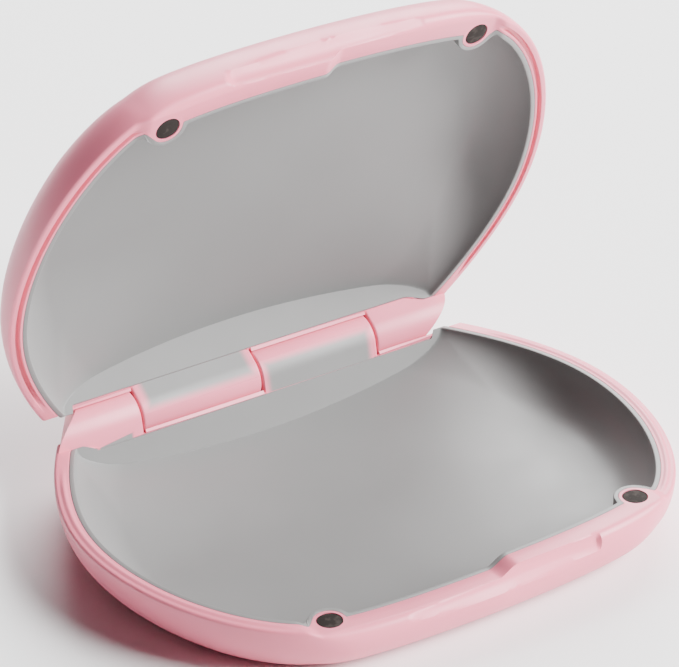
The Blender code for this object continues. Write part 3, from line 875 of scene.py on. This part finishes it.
def pin_steel():
    """Ground steel, with fine marks round the pin."""
    made, tree, shader = new_material("ground_steel")
    base = colours().pin
    stretch = node(tree, "ShaderNodeMapping")
    stretch.inputs["Scale"].default_value = (40, 1, 1)
    tree.links.new(node(tree, "ShaderNodeTexCoord").outputs["Object"], stretch.inputs["Vector"])
    lines = grain(tree, 260, 4, stretch.outputs["Vector"])
    tone = spread(tree, lines, 0, 1)
    tree.links.new(tinted(tree, tone, shade(base, 0.85), shade(base, 1.1)), shader.inputs["Base Color"])
    tree.links.new(spread(tree, lines, 0.22, 0.4), shader.inputs["Roughness"])
    bumped(tree, shader, lines, 0.2, 0.00003)
    shader.inputs["Metallic"].default_value = 1
    return made


def floor_finish():
    made, tree, shader = new_material("pale_matte_floor")
    base = colours().floor
    tone = spread(tree, grain(tree, 3, 3), 0, 1)
    tree.links.new(tinted(tree, tone, shade(base, 0.995), base), shader.inputs["Base Color"])
    shader.inputs["Roughness"].default_value = 0.9
    shader.inputs["Specular IOR Level"].default_value = 0.1
    return made


def build_floor():
    """A broad floor whose back curves gently up, under and behind the case."""
    bm = bmesh.new()
    profile = [(-3.0, 0.0), (2.6, 0.0)]
    profile += [(2.6 + 1.2 * math.sin(a), 1.2 - 1.2 * math.cos(a)) for a in np.linspace(0.1, 1.5, 14)]
    rows = [[bm.verts.new((x, y, z)) for y, z in profile] for x in np.linspace(-4, 4, 9)]
    for first, second in zip(rows, rows[1:]):
        for at in range(len(profile) - 1):
            bm.faces.new((first[at], second[at], second[at + 1], first[at + 1]))
    floor = mesh_object("floor", bm)
    floor.data.shade_smooth()
    floor.data.materials.append(floor_finish())


def add_softbox(name, place, size, power):
    light = bpy.data.lights.new(name, "AREA")
    light.shape = "RECTANGLE"
    light.size = light.size_y = size
    light.energy = power
    made = bpy.data.objects.new(name, light)
    bpy.context.scene.collection.objects.link(made)
    made.location = place
    made.rotation_euler = (Vector(LIGHT_TARGET) - Vector(place)).to_track_quat("-Z", "Y").to_euler()


def add_world():
    world = bpy.data.worlds.new("studio")
    world.use_nodes = True
    background = world.node_tree.nodes["Background"]
    background.inputs["Color"].default_value = (1, 1, 1, 1)
    background.inputs["Strength"].default_value = WORLD_STRENGTH
    bpy.context.scene.world = world


def add_camera():
    camera = bpy.data.cameras.new("camera")
    camera.lens = CAMERA_LENS
    camera.sensor_width = 36
    camera.clip_start, camera.clip_end = 0.05, 30
    made = bpy.data.objects.new("camera", camera)
    bpy.context.scene.collection.objects.link(made)
    level = math.cos(CAMERA_RISE)
    back = Vector((math.sin(CAMERA_TURN) * level, -math.cos(CAMERA_TURN) * level, math.sin(CAMERA_RISE)))
    made.location = CAMERA_TARGET + back * CAMERA_DISTANCE
    made.rotation_euler = back.to_track_quat("Z", "Y").to_euler()
    bpy.context.scene.camera = made


class CaseShellsOperator(bpy.types.Operator):
    """Moulds the two pink shells, with their knuckles, rims and thumb scoop"""

    bl_idname = "mouthguard_case.shells"
    bl_label = "Shells"

    def execute(self, context):
        material = shell_plastic()
        for side in (BASE, LID):
            build_shell(side, material)
        return {"FINISHED"}


class CaseLinersOperator(bpy.types.Operator):
    """Moulds the two grey liners, with the bands over the knuckles"""

    bl_idname = "mouthguard_case.liners"
    bl_label = "Liners"

    def execute(self, context):
        material = liner_plastic()
        for side in (BASE, LID):
            build_liner(side, material)
        return {"FINISHED"}


class CaseMagnetsOperator(bpy.types.Operator):
    """Sets the four disc magnets in their bosses"""

    bl_idname = "mouthguard_case.magnets"
    bl_label = "Magnets"

    def execute(self, context):
        build_magnets(magnet_coat())
        return {"FINISHED"}


class CasePinOperator(bpy.types.Operator):
    """Fits the steel hinge pin"""

    bl_idname = "mouthguard_case.pin"
    bl_label = "Hinge Pin"

    def execute(self, context):
        build_pin(pin_steel())
        return {"FINISHED"}


class CaseStageOperator(bpy.types.Operator):
    """Lays the floor and sets the lights and the camera"""

    bl_idname = "mouthguard_case.stage"
    bl_label = "Stage"

    def execute(self, context):
        build_floor()
        for name, (place, size, power) in SOFTBOXES.items():
            add_softbox(name, place, size, power)
        add_world()
        add_camera()
        return {"FINISHED"}


STEPS = (CaseShellsOperator, CaseLinersOperator, CaseMagnetsOperator, CasePinOperator, CaseStageOperator)


class CasePanel(bpy.types.Panel):
    bl_idname = "VIEW3D_PT_mouthguard_case"
    bl_label = "Mouthguard Case"
    bl_space_type = "VIEW_3D"
    bl_region_type = "UI"
    bl_category = "Case"

    def draw(self, context):
        for group in (context.scene.case_sizes, context.scene.case_colours):
            column = self.layout.column(align=True)
            for name in group.__annotations__:
                column.prop(group, name)
        for step in STEPS:
            self.layout.operator(step.bl_idname)


CLASSES = (CaseSizes, CaseColours, *STEPS, CasePanel)


def register():
    for cls in CLASSES:
        bpy.utils.register_class(cls)
    bpy.types.Scene.case_sizes = PointerProperty(type=CaseSizes)
    bpy.types.Scene.case_colours = PointerProperty(type=CaseColours)


def unregister():
    del bpy.types.Scene.case_colours
    del bpy.types.Scene.case_sizes
    for cls in reversed(CLASSES):
        bpy.utils.unregister_class(cls)


def main():
    register()
    for step in (
        bpy.ops.mouthguard_case.shells,
        bpy.ops.mouthguard_case.liners,
        bpy.ops.mouthguard_case.magnets,
        bpy.ops.mouthguard_case.pin,
        bpy.ops.mouthguard_case.stage,
    ):
        step()


if __name__ == "__main__":
    main()
